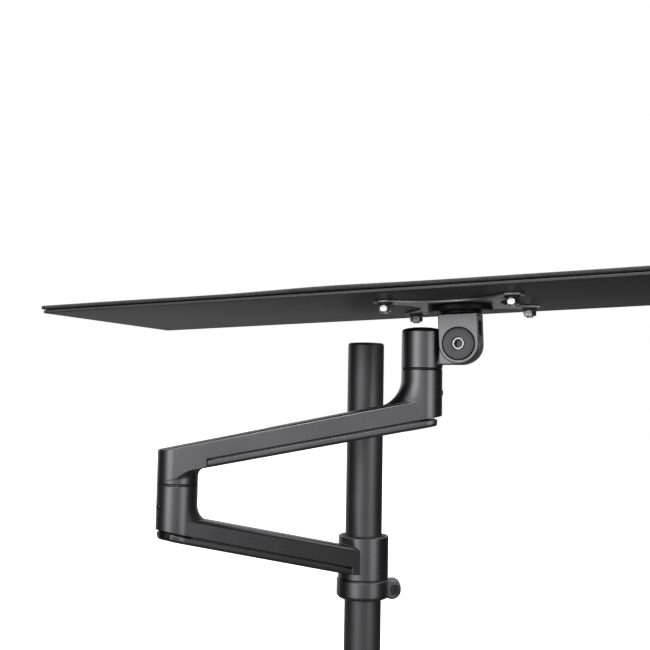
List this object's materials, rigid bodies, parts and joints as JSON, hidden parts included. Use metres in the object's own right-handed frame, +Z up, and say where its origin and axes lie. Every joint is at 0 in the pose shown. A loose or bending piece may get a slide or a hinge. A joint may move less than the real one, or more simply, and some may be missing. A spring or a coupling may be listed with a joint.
{
  "type": "monitor arm",
  "caption": "Desk-pole arm with two swinging links, a swivel and tilt head and a long flat tray with a mat, held by a desk clamp.",
  "frame": {"origin": "on the pole's axis, at the underside of the clamp's desk pad, where it rests on the desk", "axes": "+Z up along the pole, +X along the tray's long side as stored, +Y away from the user"},
  "size_m": [0.6717, 0.2634, 0.604],
  "materials": {
    "pole_black": "satin black powder coat on steel tube",
    "steel_black": "fine-textured black powder coat on steel",
    "arm_black": "satin charcoal powder coat on die-cast aluminium",
    "cover_plastic": "matt charcoal moulded plastic",
    "black_plastic": "matt black moulded plastic",
    "bush_plastic": "dark bearing plastic",
    "black_steel": "black oxide",
    "zinc_steel": "bright zinc plate",
    "spindle_steel": "turned steel, oiled",
    "vesa_grey": "satin grey powder coat on steel plate",
    "tray_black": "fine-textured black powder coat on steel sheet",
    "mat_rubber": "matt black, pebble-textured",
    "pad_rubber": "matt black"
  },
  "bodies": {
    "post": {"pole": "pole_black", "pole_cap": "black_plastic", "desk_pad": "pad_rubber", "base_plate": "steel_black", "pole_socket": "steel_black", "socket_screw_1": "black_steel", "socket_screw_2": "black_steel", "socket_screw_3": "black_steel", "socket_grub_screw": "black_steel", "clamp_bracket": "steel_black", "bracket_screw_left": "zinc_steel", "bracket_screw_right": "zinc_steel"},
    "clamp_foot": {"clamp_foot": "black_steel", "clamp_foot_pad": "pad_rubber"},
    "clamp_screw": {"clamp_screw": "zinc_steel", "clamp_knob": "black_plastic"},
    "height_collar": {"height_collar": "arm_black", "collar_screw": "black_steel", "collar_nut": "zinc_steel"},
    "lower_arm": {"lower_arm": "arm_black", "sleeve_bush_upper": "bush_plastic", "sleeve_bush_lower": "bush_plastic", "lower_cable_cover": "cover_plastic", "elbow_spindle": "spindle_steel", "elbow_set_screw": "black_steel", "elbow_washer": "bush_plastic", "lower_end_plug": "black_plastic"},
    "upper_arm": {"upper_arm": "arm_black", "upper_cable_cover": "cover_plastic", "elbow_bush": "bush_plastic", "head_bush_lower": "bush_plastic", "head_bush_upper": "bush_plastic", "head_set_screw": "black_steel"},
    "swivel_head": {"swivel_head": "arm_black", "swivel_cap": "black_plastic", "head_spindle": "spindle_steel", "head_washer": "bush_plastic", "tilt_bush": "bush_plastic"},
    "tilt_bracket": {"tilt_bracket": "arm_black", "tilt_disc": "black_steel", "tilt_bolt": "zinc_steel", "tilt_spring_washer": "spindle_steel", "tilt_lock_nut": "zinc_steel", "tilt_friction_washer_front": "bush_plastic", "tilt_friction_washer_back": "bush_plastic", "hub_base": "black_plastic", "hub_pivot": "spindle_steel"},
    "tray": {"hub_disc": "black_plastic", "vesa_plate": "vesa_grey", "tray_plate": "tray_black", "tray_mat": "mat_rubber", "stud_nut_1": "zinc_steel", "stud_nut_2": "zinc_steel", "stud_nut_3": "zinc_steel", "stud_nut_4": "zinc_steel", "stud_washer_1": "black_steel", "stud_washer_2": "black_steel", "stud_washer_3": "black_steel", "stud_washer_4": "black_steel"}
  },
  "joints": [
    {"name": "clamp_foot_slide", "type": "slide", "parent": "post", "child": "clamp_foot", "axis": [0, 0, 1], "range_m": [-0.0301, 0.0201]},
    {"name": "clamp_screw_turn", "type": "hinge", "parent": "clamp_foot", "child": "clamp_screw", "pos_m": [0, 0, -0.1], "axis": [0, 0, 1], "range_deg": [-7200, 4800]},
    {"name": "collar_height", "type": "slide", "parent": "post", "child": "height_collar", "axis": [0, 0, 1], "range_m": [-0.015, 0.165]},
    {"name": "shoulder_turn", "type": "hinge", "parent": "height_collar", "child": "lower_arm", "pos_m": [0, 0, 0.19], "axis": [0, 0, 1], "range_deg": [-180, 180]},
    {"name": "elbow_turn", "type": "hinge", "parent": "lower_arm", "child": "upper_arm", "pos_m": [-0.11035, -0.168, 0.275], "axis": [0, 0, 1], "range_deg": [-300, 24]},
    {"name": "head_swivel", "type": "hinge", "parent": "upper_arm", "child": "swivel_head", "pos_m": [0.08234, -0.10576, 0.374], "axis": [0, 0, 1], "continuous": true},
    {"name": "tray_tilt", "type": "hinge", "parent": "swivel_head", "child": "tilt_bracket", "pos_m": [0.11544, -0.10576, 0.3946], "axis": [0, -1, 0], "range_deg": [-75, 4]},
    {"name": "tray_turn", "type": "hinge", "parent": "tilt_bracket", "child": "tray", "pos_m": [0.11429, -0.10576, 0.42458], "axis": [-0.0384, 0, 0.9993], "continuous": true}
  ],
  "couplings": [
    {"joint": "clamp_foot_slide", "follows": "clamp_screw_turn", "m_per_rad": 0.00023873}
  ]
}
